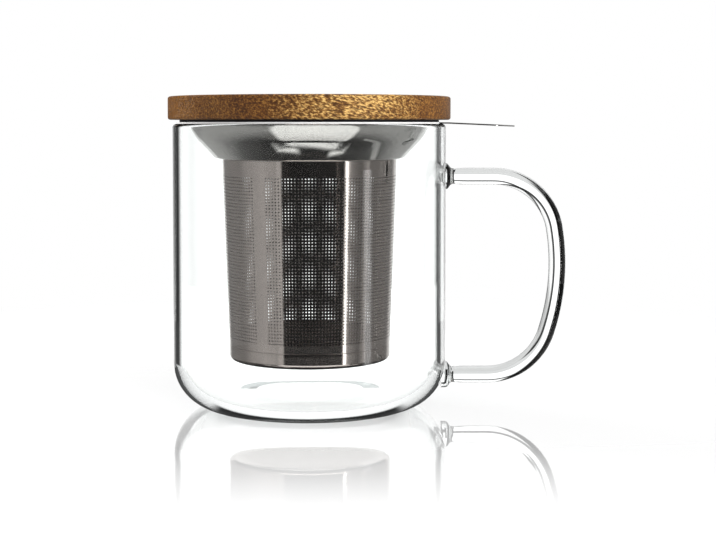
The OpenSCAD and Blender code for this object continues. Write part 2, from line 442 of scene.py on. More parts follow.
def steel_material(name, colour, roughness, waves, along, inside=0.0, edge_r=1.0):
    """Polished steel; `along` stretches the wheel's lines, and `edge_r` is a cut edge's radius."""
    material, nodes, shader, _ = new_material(name)
    place_at = nodes.place_at()
    matt = matt_places(nodes, place_at, inside, edge_r)
    lines = nodes.noise(nodes.scaled(place_at, along), 900.0, Detail=4.0, Roughness=0.7)
    swell = nodes.noise(place_at, 70.0, Detail=1.0)
    height = nodes.plus(nodes.times(lines, 0.012), nodes.times(swell, waves))
    darker = tuple(LINE_SHADE * part for part in colour)
    lined = nodes.ramp(lines, [(0.3, darker), (0.7, colour)])
    marks = handled(nodes, roughness, marks=0.04, scale=60.0)
    nodes.feed(shader, {
        "Base Color": nodes.blend(matt, lined, WHITE),
        "Roughness": nodes.plus(marks["Roughness"], matt),
        "Normal": nodes.bump(height, 0.5, 0.2 * MM),
        "Metallic": nodes.math("SUBTRACT", 1.0, nodes.times(matt, 0.85), clamp=True)})
    return material


COLLAR_STEEL = steel_material("collar_steel", COLLAR_COLOUR, 0.05, 0.15, (1.0, 1.0, 0.08),
                              edge_r=COLLAR_EDGE_R)
SLEEVE_STEEL = steel_material("sleeve_steel", BASKET_COLOUR, 0.06, 0.20, (1.0, 1.0, 0.05),
                              inside=0.4)
BASE_STEEL = steel_material("base_steel", BASKET_COLOUR, 0.06, 0.15, (1.0, 1.0, 0.05))
print("materials:", COLLAR_STEEL.name, SLEEVE_STEEL.name, BASE_STEEL.name)

# %% [markdown]
# ### Wood
# Acacia is a coarse, lively wood, and the board is brown heartwood. A golden band of lighter wood
# at the front right is a painted highlight, the sheen of the front lamp on the oiled rim;
# `PAINTED_HIGHLIGHT_SIDE` points to it. The grain runs along the edge of the band and falls a
# little to the right. Wood and highlight share one pattern of short fibres, long soft bands and
# fine dark pores, and it fills the solid, so the rim shows long grain in one place and end grain
# in another without any extra work.

# %% Wood
# Painted highlight: lighter, golden wood toward the front right stands in for the lamp's sheen.
PAINTED_HIGHLIGHT_SIDE = (0.29, -0.957, 0.0)
PAINTED_HIGHLIGHT_STOPS = [(0.465, 0.0), (0.51, 0.5), (0.545, 1.0)]
GRAIN_TURN = (0, math.radians(-14), math.radians(-16))
HEARTWOOD = [(0.38, (0.055, 0.016, 0.002)), (0.50, (0.145, 0.053, 0.007)),
             (0.62, (0.30, 0.135, 0.025))]
# The painted highlight's colours, lighter and more golden than the heartwood.
PAINTED_HIGHLIGHT_WOOD = [(0.41, (0.09, 0.034, 0.006)), (0.50, (0.31, 0.15, 0.034)), (0.59, (0.72, 0.46, 0.15))]
PORE_BROWN = (0.05, 0.018, 0.004, 1)


def wood_material():
    """Oiled acacia, with a painted golden highlight on one side."""
    material, nodes, shader, _ = new_material("acacia")
    place_at = nodes.place_at()
    along_grain = nodes.scaled(place_at, (1.0, 1.0, 1.0), Rotation=GRAIN_TURN)

    def strands(along, scale, **more):
        """Noise drawn out along the grain."""
        return nodes.noise(nodes.scaled(along_grain, (along, 1.0, 1.0)), scale, **more)

    bands = strands(0.16, 70.0, Detail=4.0, Distortion=0.6)
    fibre = strands(0.34, 2100.0, Detail=2.0, Roughness=0.6)
    pores = nodes.ramp(strands(0.30, 1700.0, Detail=1.0, Distortion=0.4),
                       [(0.55, 0.0), (0.63, 1.0)])
    body = nodes.plus(nodes.times(bands, 0.25), nodes.times(fibre, 0.75))
    # How near a point lies to the painted highlight at the front right, with wavy edges from the
    # bands.
    to_painted_highlight = nodes.math("DIVIDE", nodes.dot(place_at, PAINTED_HIGHLIGHT_SIDE), LID_R)
    to_painted_highlight = nodes.plus(to_painted_highlight, nodes.times(bands, 0.2))
    painted_highlight = nodes.ramp(nodes.times(to_painted_highlight, 0.5), PAINTED_HIGHLIGHT_STOPS)
    solid = nodes.blend(painted_highlight, nodes.ramp(body, HEARTWOOD), nodes.ramp(body, PAINTED_HIGHLIGHT_WOOD))
    height = nodes.minus(nodes.times(fibre, 0.5), nodes.times(pores, 0.6))
    nodes.feed(shader, {
        "Base Color": nodes.blend(nodes.times(pores, 0.65), solid, PORE_BROWN),
        "Roughness": nodes.plus(0.38, nodes.times(fibre, 0.22)),
        "Normal": nodes.bump(height, 0.5, 0.12 * MM)})
    return material


WOOD = wood_material()
print("material:", WOOD.name)

# %% [markdown]
# ### Rubber
# The seal is soft black silicone: no colour of its own, a dull sheen and a little dust.

# %% Rubber
BLACK = (0.012, 0.012, 0.013)
DUSTY_BLACK = (0.03, 0.03, 0.031)


def rubber_material():
    """Black silicone with a soft sheen."""
    material, nodes, shader, _ = new_material("silicone")
    marks = handled(nodes, roughness=0.42, marks=0.2, scale=150.0)
    nodes.feed(shader, {
        "Base Color": nodes.ramp(marks["Roughness"], [(0.42, BLACK), (0.62, DUSTY_BLACK)]),
        "Roughness": marks["Roughness"],
        "Normal": nodes.bump(marks["Height"], 0.2, 0.05 * MM)})
    return material


RUBBER = rubber_material()
print("material:", RUBBER.name)

# %% [markdown]
# ## The glass
# The mug is blown, and its half profile is one chain: hollow under the floor, rounded foot,
# wall, fire-polished rim, inside wall and floor.

# %% Glass body
FOOT_R = 24 * MM
FOOT_ROUND = 2 * MM
HOLLOW_R = FOOT_R - 6 * MM
HOLLOW_ROUND = 4 * MM
HOLLOW_RISE = 0.8 * MM
CORNER_OUT = 15 * MM
CORNER_IN = 13 * MM
RIM_ROUND = 1.2 * MM

glass = turned("mug_glass", [
    (0, HOLLOW_RISE, 0), (HOLLOW_R, HOLLOW_RISE, HOLLOW_ROUND), (FOOT_R, 0, FOOT_ROUND),
    (MUG_R, 0, CORNER_OUT), (MUG_R, RIM_Z, RIM_ROUND), (MUG_R - WALL, RIM_Z, RIM_ROUND),
    (MUG_R - WALL, FLOOR_T, CORNER_IN), (0, FLOOR_T, 0),
], segments=16, steps=256)
print("glass body:", len(glass.data.vertices), "vertices")

# %% [markdown]
# The handle is a glass rod bent hot. A ring of vertices is drawn straight out from the wall and
# then spun about each bend's centre in turn, as a tube bender would do it. Its ends swell
# where they were melted on, so the first few rings are drawn out with changing radii:
# `ROOT_RINGS` holds (x, radius) pairs in millimetres. `TOP_WAY` and `LOW_WAY` point from the
# middle bend's centre to where it meets the upper and the lower bend.

# %% Handle rod
MID_BEND = 73.2 * MM
MID_Z = 46.94 * MM
TOP_BEND = 20.42 * MM
LOW_BEND = 20.66 * MM
TOP_WAY = Vector((143, 0, 24)) / 145
LOW_WAY = Vector((176, 0, -57)) / 185
REACH = rod_high.x - ROD_R
ROOT_RINGS = [(43.6, 4.4), (45.2, 4.35), (45.7, 4.1), (46.1, 3.6), (46.5, 3.0), (47.2, 2.62),
              (48.4, 2.58), (50.0, 2.72), (52.0, 2.8)]

mid_centre = Vector((REACH - MID_BEND, 0, MID_Z))
top_centre = mid_centre + TOP_WAY * (MID_BEND - TOP_BEND)
low_centre = mid_centre + LOW_WAY * (MID_BEND - LOW_BEND)
top_z = top_centre.z + TOP_BEND
low_z = low_centre.z - LOW_BEND


# %% Bending a ring of edges
def ring_at(ring, centre, radius):
    """Move a ring of vertices so that it is centred there, with that radius."""
    middle = sum((v.co for v in ring), Vector()) / len(ring)
    for v in ring:
        v.co = centre + (v.co - middle).normalized() * radius


def draw_out(bm, edges, centre, radius):
    """Extrude the ring of edges to a new centre and radius, and return the new edges."""
    made = bmesh.ops.extrude_edge_only(bm, edges=edges)["geom"]
    ring_at([g for g in made if isinstance(g, bmesh.types.BMVert)], centre, radius)
    return [g for g in made if isinstance(g, bmesh.types.BMEdge)]


def bend_round(bm, edges, centre, angle, steps):
    """Spin the ring of edges about a bend's centre, and return the last ring."""
    made = bmesh.ops.spin(bm, geom=edges, cent=centre, axis=(0, 1, 0), angle=angle,
                          steps=steps, use_merge=False)["geom_last"]
    return [g for g in made if isinstance(g, bmesh.types.BMEdge)]


# %% Rod
def handle_rod():
    """The bent rod with both of its swollen roots."""
    bm = bmesh.new()
    turn = Matrix.Rotation(math.pi / 2, 4, "Y")
    first_x, first_radius = ROOT_RINGS[0]
    bmesh.ops.create_circle(bm, segments=32, radius=first_radius * MM, cap_ends=True, matrix=turn)
    bmesh.ops.translate(bm, verts=bm.verts, vec=(first_x * MM, 0, top_z))
    edges = bm.edges[:]
    for x, radius in ROOT_RINGS[1:]:
        edges = draw_out(bm, edges, Vector((x * MM, 0, top_z)), radius * MM)
    edges = draw_out(bm, edges, Vector((top_centre.x, 0, top_z)), ROD_R)
    top_turn = math.acos(TOP_WAY.z)
    low_turn = math.acos(LOW_WAY.z)
    edges = bend_round(bm, edges, top_centre, top_turn, 30)
    edges = bend_round(bm, edges, mid_centre, low_turn - top_turn, 16)
    edges = bend_round(bm, edges, low_centre, math.pi - low_turn, 28)
    for x, radius in reversed(ROOT_RINGS):
        edges = draw_out(bm, edges, Vector((x * MM, 0, low_z)), radius * MM)
    bmesh.ops.contextual_create(bm, geom=edges)
    return to_object(bm, "handle_rod")


rod = handle_rod()
print("rod:", len(rod.data.vertices), "vertices, straights at",
      f"{top_z / MM:.1f} and {low_z / MM:.1f} mm")

# %% [markdown]
# Rod and body are one piece of glass once fused. If their surfaces crossed, light would bend at
# a face that isn't there, so a Boolean union joins them into a single closed skin.

# %% Fuse rod and body
fuse = glass.modifiers.new("fuse", "BOOLEAN")
fuse.operation = "UNION"
fuse.object = rod
fuse.solver = "EXACT"
apply_modifiers(glass)
bpy.data.objects.remove(rod)
shade(glass.data, 50)
place(glass, "mug", GLASS, "glass", "mug_body", "handle")

# %% [markdown]
# ## The collar
# One pressing hangs the basket: a flange on the rim, a steep band, a cone, a shelf and a neck.
# Its middle line is the chain, and a Solidify modifier gives it the sheet's thickness.


# %% Collar
def sheet_turned(name, corners, thickness):
    """A turned piece of sheet about the middle line through the corners."""
    middle = turned(name, corners, steps=256)
    return thicken(middle, thickness, 45, offset=0, use_even_offset=True)


MOUTH_R = 39.6 * MM
MOUTH_ROUND = 0.85 * MM
KNEE_R = 37.9 * MM
KNEE_Z = RIM_Z - 4.2 * MM
KNEE_ROUND = 12 * MM
CONE_LOW_R = 31.0 * MM
CONE_ROUND = 1.3 * MM
NECK_GAP = 0.08 * MM
NECK_R = SLEEVE_TOP_R - SLEEVE_SHEET - NECK_GAP - SHEET / 2
NECK_LOW = SHELF_Z - 3.6 * MM
NECK_ROUND = 0.3 * MM
NECK_TAPER = 0.13 * MM
mid_flange = RIM_Z + SHEET / 2
mid_shelf = SHELF_Z + SHEET / 2

collar = sheet_turned("collar", [
    (FLANGE_R, mid_flange, 0), (MOUTH_R, mid_flange, MOUTH_ROUND), (KNEE_R, KNEE_Z, KNEE_ROUND),
    (CONE_LOW_R, mid_shelf, CONE_ROUND), (NECK_R, mid_shelf, NECK_ROUND),
    (NECK_R - NECK_TAPER, NECK_LOW, 0),
], SHEET)
place(collar, "infuser", COLLAR_STEEL, "collar_steel", "infuser_collar")

# %% [markdown]
# The thumb tab is the flat tongue that lifts the infuser. It starts inside the flange, a hair
# thinner than it, so the two sheets never share a face, and it falls a little toward its tip.


# %% Thumb tab
def thumb_tab():
    """A tongue with a round tip, shaped from a disc and folded down past the mug's wall."""
    root, tip, half_width = 43.2 * MM, round(collar_high.x, 5), 11 * MM
    fold = MUG_R + 0.5 * MM
    fall = 1.0 * MM
    bm = bmesh.new()
    bmesh.ops.create_circle(bm, segments=96, radius=half_width, cap_ends=True)
    bmesh.ops.translate(bm, verts=bm.verts, vec=(tip - half_width, 0, 0))
    for v in bm.verts:
        if v.co.x < tip - half_width:
            v.co.x = root
            v.co.y = math.copysign(half_width, v.co.y) if abs(v.co.y) > 0.01 * MM else 0
    bmesh.ops.remove_doubles(bm, verts=bm.verts, dist=0.01 * MM)
    bmesh.ops.bisect_plane(bm, geom=bm.verts[:] + bm.edges[:] + bm.faces[:],
                           plane_co=(fold, 0, 0), plane_no=(1, 0, 0))
    made = bmesh.ops.extrude_face_region(bm, geom=bm.faces[:])["geom"]
    upper = [g for g in made if isinstance(g, bmesh.types.BMVert)]
    bmesh.ops.translate(bm, verts=upper, vec=(0, 0, SHEET - 2 * HAIR))
    rims = [e for e in bm.edges if abs(e.verts[0].co.z - e.verts[1].co.z) < 1e-7
            and len(e.link_faces) == 2 and e.calc_face_angle(0) > 1]
    bmesh.ops.bevel(bm, geom=rims, offset=0.06 * MM, segments=2, profile=0.5,
                    affect="EDGES", material=-1)
    for v in bm.verts:
        drop = max(0.0, v.co.x - fold) / (tip - fold) * fall
        v.co.z += RIM_Z + HAIR - drop
    return to_object(bm, "thumb_tab")


place(thumb_tab(), "infuser", COLLAR_STEEL, "collar_steel", "infuser_collar")

# %% [markdown]
# ## The basket
# The sheet is punched flat and then rolled, and it is made the same way here. One square tile
# with a round hole is drawn, and two Array modifiers lay out rows and columns and weld them.
# `PITCH` is the way from hole to hole, and `PLAIN_COLUMNS` are left unpunched for the seam.
# `SKIN` is half of `SLEEVE_SHEET`: such fine holes stay open to the eye at a slant only in a
# thinner sheet.

# %% Perforated sheet
PITCH = 1.041 * MM
COLUMNS = 167
PLAIN_COLUMNS = 4
ROWS = 51
HOLE_R = 0.27 * MM
SKIN = 0.2 * MM
FIRST_ROW_Z = 23.8 * MM
SEAM_ANGLE = math.radians(238)


def punched_sheet(name, columns, rows):
    """A flat sheet of square tiles with a round hole in each, one corner at the origin."""
    bm = bmesh.new()
    bmesh.ops.create_circle(bm, segments=8, radius=HOLE_R)
    outline = bmesh.ops.create_circle(bm, segments=8, radius=1.0)["verts"]
    for v in outline:
        v.co *= 0.5 / max(abs(v.co.x), abs(v.co.y))
        v.co *= PITCH
    bmesh.ops.bridge_loops(bm, edges=bm.edges)
    bmesh.ops.translate(bm, verts=bm.verts, vec=(PITCH / 2, PITCH / 2, 0))
    sheet = to_object(bm, name)
    for axis, count in enumerate((columns, rows)):
        array = sheet.modifiers.new("array", "ARRAY")
        array.count = count
        array.use_relative_offset = False
        array.use_constant_offset = True
        array.constant_offset_displace = [PITCH if i == axis else 0 for i in range(3)]
        array.use_merge_vertices = True
        array.merge_threshold = 0.01 * MM
    return apply_modifiers(sheet)


# %% [markdown]
# Rolling is one sum per vertex: how far along the sheet it lies becomes an angle, and its height
# gives the radius, because the sleeve narrows a little toward its foot. The sheet is cut in
# bands only because one mesh would be too heavy.


# %% Rolled sleeve
BANDS = 3


def on_sleeve(columns, z):
    """The place on the sleeve's outside, so many columns round from the seam's middle."""
    share = (z - SLEEVE_Z) / (SHELF_Z - SLEEVE_Z)
    radius = SLEEVE_LOW_R + (SLEEVE_TOP_R - SLEEVE_LOW_R) * share
    angle = SEAM_ANGLE + columns * math.tau / COLUMNS
    return radius * math.cos(angle), radius * math.sin(angle), z


def roll(obj, z_start):
    """Roll a flat sheet in the XY plane round Z, with its lower edge at that height."""
    for v in obj.data.vertices:
        v.co = on_sleeve(PLAIN_COLUMNS / 2 + v.co.x / PITCH, z_start + v.co.y)
    return obj


def place_on_sleeve(obj):
    """Thicken a rolled sheet inward and fasten it as a part of the sleeve."""
    thicken(obj, SKIN, 35, offset=-1)
    return place(obj, "infuser", SLEEVE_STEEL, "sleeve_steel", "basket_sleeve")


first_edge = FIRST_ROW_Z - PITCH / 2
last_edge = first_edge + ROWS * PITCH
rows = ROWS // BANDS
for number in range(BANDS):
    band = punched_sheet(f"sleeve_holes_{number + 1}", COLUMNS - PLAIN_COLUMNS, rows)
    place_on_sleeve(roll(band, first_edge + number * rows * PITCH))

# %% [markdown]
# What isn't punched is plain: a band above, a band below and the seam, where the sheet's two
# edges meet in a fine weld. They are strips with the same spacing as the holes.


# %% Plain bands and seam
UNDER_SHELF = 0.25 * MM


def plain_strip(name, z_low, z_high, first, count, rows=1):
    """A plain part of the sleeve, from the first column on over that many."""
    bm = bmesh.new()
    bmesh.ops.create_grid(bm, x_segments=2 * count, y_segments=rows, size=0.5)
    for v in bm.verts:
        along, up = v.co.x + 0.5, v.co.y + 0.5
        v.co = on_sleeve(first + along * count, z_low + up * (z_high - z_low))
    bmesh.ops.remove_doubles(bm, verts=bm.verts, dist=0.001 * MM)
    return place_on_sleeve(to_object(bm, name))


plain_strip("sleeve_top_band", last_edge, SHELF_Z - UNDER_SHELF, 0, COLUMNS)
plain_strip("sleeve_low_band", SLEEVE_Z, first_edge, 0, COLUMNS)
plain_strip("sleeve_seam", first_edge, last_edge, -PLAIN_COLUMNS / 2, PLAIN_COLUMNS, rows=ROWS)

# %% [markdown]
# The base is a drawn cup with the same fine holes in its floor. Its wall steps in at the top to
# a tongue that fits inside the sleeve. Its floor is a ring of sheet.

# %% Basket base
BASE_ROUND = 1.3 * MM
BASE_SHEET = 0.4 * MM
DISC_R = 21.5 * MM
TONGUE_R = SLEEVE_LOW_R - 0.68 * MM
TONGUE_ROUND = 0.2 * MM
TONGUE_TOP = SLEEVE_Z + 3.5 * MM
STEP_ROUND = 0.05 * MM
mid_floor = BASE_Z + BASE_SHEET / 2
wall_mid = SLEEVE_LOW_R - BASE_SHEET / 2

cup = sheet_turned("base_cup", [
    (DISC_R, mid_floor, 0), (wall_mid, mid_floor, BASE_ROUND),
    (wall_mid, SLEEVE_Z - BASE_SHEET / 2, STEP_ROUND),
    (TONGUE_R, SLEEVE_Z - BASE_SHEET / 4, TONGUE_ROUND), (TONGUE_R, TONGUE_TOP, 0),
], BASE_SHEET - HAIR)
place(cup, "infuser", BASE_STEEL, "base_steel", "basket_base")

# %% [markdown]
# The holes are a square of the same punched sheet, trimmed to a disc. It is thinner than the
# ring round it and lies between the ring's two skins, so the cut tiles at its edge don't show.

# %% Holes in the base
DISC_SHEET = 0.15 * MM
DISC_MARGIN = 1.4 * PITCH


def base_holes():
    """A disc of punched sheet in the floor of the base."""
    half_count = round(DISC_R / PITCH) + 1
    square = punched_sheet("base_holes", 2 * half_count, 2 * half_count)
    bm = bmesh.new()
    bm.from_mesh(square.data)
    bpy.data.objects.remove(square)
    corner = (-half_count * PITCH, -half_count * PITCH, mid_floor)
    bmesh.ops.translate(bm, verts=bm.verts, vec=corner)
    outside = [v for v in bm.verts if v.co.xy.length > DISC_R + DISC_MARGIN]
    bmesh.ops.delete(bm, geom=outside, context="VERTS")
    return thicken(to_object(bm, "base_holes"), DISC_SHEET, 35, offset=-1)


place(base_holes(), "infuser", BASE_STEEL, "base_steel", "basket_base")

# %% [markdown]
# ## The lid
# Board and plug are turned in one, and a groove round the plug holds the seal.

# %% Lid board
PLUG_R = 36.5 * MM
PLUG_Z = LID_Z - 5.8 * MM
GROOVE_R = PLUG_R - 0.8 * MM
GROOVE_TOP = LID_Z - 1.5 * MM
GROOVE_LOW = LID_Z - 3.5 * MM
EDGE = 0.8 * MM

board = turned("board", [
    (0, LID_TOP, 0), (LID_R, LID_TOP, EDGE), (LID_R, LID_Z, EDGE), (PLUG_R, LID_Z, 0),
    (PLUG_R, GROOVE_TOP, 0), (GROOVE_R, GROOVE_TOP, 0), (GROOVE_R, GROOVE_LOW, 0),
    (PLUG_R, GROOVE_LOW, 0), (PLUG_R, PLUG_Z, EDGE), (0, PLUG_Z, 0),
], segments=6)
place(board, "lid", WOOD, "lid_wood", "lid_board")

# %% [markdown]
# Two soft rings: a flat gasket under the board, and a finned seal round the plug whose fins
# brush the collar's inside.

# %% Gasket and seal
GASKET_R = round(gasket_high.x, 5)
SEAL_R = round(seal_high.x, 5)
SEAL_Z = round(seal_low.z, 5)
SOFT_EDGE = 0.2 * MM
FIN_REACH = 0.5 * MM
FIN_ROOT = 0.3 * MM
FIN_TIP = 0.15 * MM
FIN_ROUND = 0.1 * MM
SEAL_ROUND = 0.3 * MM
band_r = SEAL_R - FIN_REACH
fin_gap = (FLANGE_Z - SEAL_Z) / 3

gasket = turned("gasket", [
    (PLUG_R, LID_Z, 0), (GASKET_R, LID_Z, SOFT_EDGE), (GASKET_R, FLANGE_Z, SOFT_EDGE),
    (PLUG_R, FLANGE_Z, 0), (PLUG_R, LID_Z, 0),
], segments=4)
place(gasket, "lid", RUBBER, "gasket_rubber", "lid_gasket")

profile = [(PLUG_R, FLANGE_Z, 0), (band_r, FLANGE_Z, SOFT_EDGE)]
for level in (SEAL_Z + 2 * fin_gap, SEAL_Z + fin_gap):
    profile += [(band_r, level + FIN_ROOT, 0), (SEAL_R, level + FIN_TIP, FIN_ROUND),
                (SEAL_R, level - FIN_TIP, FIN_ROUND), (band_r, level - FIN_ROOT, 0)]
profile += [(band_r, SEAL_Z, SEAL_ROUND), (PLUG_R, SEAL_Z, 0), (PLUG_R, FLANGE_Z, 0)]
seal = turned("seal", profile, segments=4)
place(seal, "lid", RUBBER, "seal_rubber", "lid_seal")

# %% [markdown]
# ## The studio
# Glass and polished steel have no look of their own: they show the room. So the room is drawn
# as a ring of panels round the object. An angle of 0 is straight behind the object, positive
# angles go to the right, and 180 is where the camera stands. Each kind of ray reads its own
# ring:
#
# - `FOR_STEEL`: mirrored by the steel, then out through the mug. White behind, grey sides, one
#   bright strip at the front right, and darkness in front, which puts the dark band down the
#   sleeve.
# - `FOR_WALLS`: straight through the mug. White, with one black flag.
# - `FOR_ROD`: bent by the handle only. Black flags at the side draw the rod's lines, and
#   `FLAG_OVER_ROD` adds one higher up, which draws a line along the rod's level stretches.
# - `FOR_EDGES`: mirrored inside one glass wall and let out again. They draw its dark rim.
# - `OFF_SKIN`: mirrored without any glass on the way, by the mug's outside, the thumb tab, the
#   wood, or the basket once it is lifted out. `STRIP` is the lamp that runs down the glass as a
#   thin line; it ends below the eye, so the tab misses it.

# %% Panels
RING_TOP = 4.0
FOR_STEEL = [
    (-180, 0.015), (-146, 0.015), (-144, 0.67), (-139, 0.66), (-137, 0.53), (-117, 0.60),
    (-93, 0.48), (-77, 0.30), (-32, 0.28), (-24, 1.0), (24, 1.0), (40, 0.25), (93, 0.25),
    (95, 0.58), (107, 0.17), (120, 0.32), (126, 0.60), (127.4, 4.0), (130, 4.0), (131.4, 0.02),
    (180, 0.015)]
FOR_WALLS = [(-180, 1.4), (22, 1.4), (24, 0.05), (44, 0.05), (50, 1.4), (180, 1.4)]
FOR_ROD = [
    (-180, 1.0), (-95, 0.8), (-85, 0.0), (-7.5, 0.0), (-4, 1.4), (15.5, 1.5), (18, 0.05),
    (24, 0.05), (28, 0.9), (31, 1.4), (36, 1.2), (45, 1.0), (55, 1.0), (61, 0.45), (80, 0.5),
    (180, 1.0)]
FLAG_OVER_ROD = [(0.0, 0.55), (0.40, 0.55), (0.43, 1.0), (0.64, 1.0), (0.655, 0.1), (0.71, 0.1),
                 (0.73, 1.0)]
FOR_EDGES = [
    (-180, 0.12), (-60, 0.12), (-50, 1.5), (-40, 1.5), (-34, 0.3), (-31, 0.03), (-19, 0.03),
    (-15, 0.3), (-12, 1.0), (-10, 1.5), (22, 1.5), (25, 1.2), (28, 0.02), (41, 0.02), (44, 1.2),
    (60, 1.5), (80, 0.12), (180, 0.12)]
OFF_SKIN = [
    (-180, 0.07), (-150, 0.07), (-120, 0.45), (-85, 0.35), (-60, 0.06), (-30, 0.05), (-22, 0.4),
    (-8, 0.9), (8, 1.0), (24, 0.6), (34, 0.3), (100, 0.45), (124, 0.07), (180, 0.07)]
STRIP = [(126, 0.0), (127.5, 4.0), (132, 4.0), (134, 0.0)]

# %% [markdown]
# Light Path tells how a ray came: how often it was mirrored (Glossy Depth) and how many glass
# faces it crossed (Transmission Depth). `Ray` turns these counts into the kinds above. A ray
# that was caught in the foot and let out has crossed one face only, so it can be told apart,
# and it gets one dark tone, `LET_OUT`.


# %% Kinds of ray
class StudioNodes(PatternNodes):
    """Nodes with the steps that light is made of."""

    def choose(self, share, no, yes):
        """The first number where the share is 0, and the second where it is 1."""
        return self.add("ShaderNodeMix", {0: share, 2: no, 3: yes}).outputs[0]

    def mix(self, share, no, yes):
        """The same for two shaders."""
        return self.add("ShaderNodeMixShader", {0: share, 1: no, 2: yes}).outputs[0]

    def smooth(self, value, low, high, start=0.0, end=1.0):
        """A soft step: `start` up to the low limit, and `end` past the high one."""
        return self.add("ShaderNodeMapRange", {"Value": value, "From Min": low, "From Max": high,
                                               "To Min": start, "To Max": end},
                        interpolation_type="SMOOTHSTEP").outputs[0]

    def tone(self, factor, stops, top=2.0):
        """A ramp of brightnesses up to `top`; a plain ramp ends at 1."""
        stops = [(position, value / top) for position, value in stops]
        return self.times(self.ramp(factor, stops), top)

    def glow(self, strength):
        return self.add("ShaderNodeEmission", {"Strength": strength}).outputs[0]


class Ray:
    """What Light Path says of the ray that a shader answers, mostly as 1 or 0."""

    def __init__(self, nodes):
        path = nodes.add("ShaderNodeLightPath").outputs
        crossed = path["Transmission Depth"]
        self.from_eye = path["Is Camera Ray"]
        self.bent = nodes.larger(path["Is Glossy Ray"], path["Is Transmission Ray"])
        self.mirrorings = path["Glossy Depth"]
        self.clear_faces = path["Transparent Depth"]
        self.met_glass = nodes.over(crossed, 0.5)
        self.met_no_glass = nodes.under(crossed, 0.5)
        self.let_out = nodes.under(crossed, 1.5)
        self.often_bent = nodes.over(crossed, 2.5)
        self.in_one_wall = nodes.minus(nodes.over(crossed, 1.5), self.often_bent)


# %% [markdown]
# What the camera sees directly is white, and matt surfaces get an even `FILL`. The heights are
# those of a ray's direction, from -1 straight down to 1 straight up. Steel finds no panel under
# `PANELS_FROM`, and the outside of the glass finds the dark of the room under `SKIN_FROM`.
#
# A rising ray that has crossed the clear film on the floor twice came down and up again. The
# floor has mirrored it once, and that one is taken off its count.

# %% Who sees which panels
FILL = 0.6
LET_OUT = 0.12
PANELS_FROM = -0.35
SKIN_FROM = -0.18
SKIN_LOW = 0.03
STRIP_TO = -0.0015


def seen_through_glass(nodes, ray, ring, rise):
    """What shows straight through the mug or through the handle's rod."""
    height = nodes.plus(nodes.times(rise, 0.5), 0.5)
    for_rod = nodes.times(ring(FOR_ROD), nodes.ramp(height, FLAG_OVER_ROD))
    behind_glass = nodes.choose(ray.often_bent, for_rod, ring(FOR_WALLS))
    return nodes.choose(ray.met_glass, 1.0, behind_glass)


def seen_in_mirrors(nodes, ray, ring, rise):
    """What steel shows, the inside of a glass wall, and the glass's own skin."""
    for_steel = nodes.times(ring(FOR_STEEL), nodes.over(rise, PANELS_FROM))
    in_mug = nodes.choose(ray.in_one_wall, for_steel, ring(FOR_EDGES))
    in_mug = nodes.choose(ray.let_out, in_mug, LET_OUT)
    strip = nodes.times(ring(STRIP), nodes.under(rise, STRIP_TO))
    off_skin = nodes.choose(nodes.under(rise, SKIN_FROM), ring(OFF_SKIN), SKIN_LOW)
    return nodes.choose(ray.met_no_glass, in_mug, nodes.plus(off_skin, strip))


# %% [markdown]
# The world puts it together: the panels for rays that glass or steel sent out, white for the
# camera and the fill for everything else.


# %% World
def studio_world():
    """White to the camera, and a ring of panels to glass and steel."""
    world = bpy.data.worlds.new("studio")
    nodes = fresh_nodes(world, StudioNodes)
    way = nodes.add("ShaderNodeTexCoord").outputs["Generated"]
    right, back, rise = nodes.add("ShaderNodeSeparateXYZ", {0: way}).outputs
    angle = nodes.math("ARCTAN2", right, back)
    round_ring = nodes.plus(nodes.math("DIVIDE", angle, math.tau), 0.5)

    def ring(panels):
        return nodes.tone(round_ring, [(at / 360 + 0.5, value) for at, value in panels], RING_TOP)

    ray = Ray(nodes)
    by_floor = nodes.times(nodes.over(rise, 0.0), nodes.over(ray.clear_faces, 1.5))
    mirrored = nodes.over(ray.mirrorings, nodes.plus(by_floor, 0.5))
    shown = nodes.choose(mirrored, seen_through_glass(nodes, ray, ring, rise),
                         seen_in_mirrors(nodes, ray, ring, rise))
    shown = nodes.larger(ray.from_eye, nodes.times(shown, ray.bent))
    soft = nodes.minus(1.0, nodes.larger(ray.from_eye, ray.bent))
    strength = nodes.plus(shown, nodes.times(soft, FILL))
    light = nodes.add("ShaderNodeBackground", {"Color": WHITE, "Strength": strength})
    nodes.add("ShaderNodeOutputWorld", {"Surface": light.outputs[0]})
    bpy.context.scene.world = world
    return world


print("world:", studio_world().name)

# %% [markdown]
# ### The floor
# The floor is white acrylic: it gives a mirror image that fades toward the camera. The fade is
# a gradient in the floor's own coordinates, and the white comes from Light Path, so no extra
# light falls on the object and its shadow stays. `MIRROR_WIDER` draws the mirror out sideways.
# Close round the foot it is weak, or the foot's dark underside would show as a grey band. At its
# edge the floor melts into the white room.
#
# A range such as `MIRROR_FADE` holds four numbers for `smooth`: from this distance to that one,
# and the value before and after. Where the last two are left out, they are 0 and 1.

# %% Floor as the eye sees it
FLOOR_R = 0.3
FLOOR_WHITE = (0.4, 0.4, 0.4, 1)
EYE_GLOW = 0.49
MIRROR_FADE = (0.06, 0.155, 0.56, 0.0)
MIRROR_WIDER = 0.3
FOOT_SIDES = (0.020, 0.034, 0.3, 1.0)
ROUND_FOOT = (0.050, 0.062, 0.3, 1.0)
MELT = (0.6 * FLOOR_R, 0.98 * FLOOR_R)


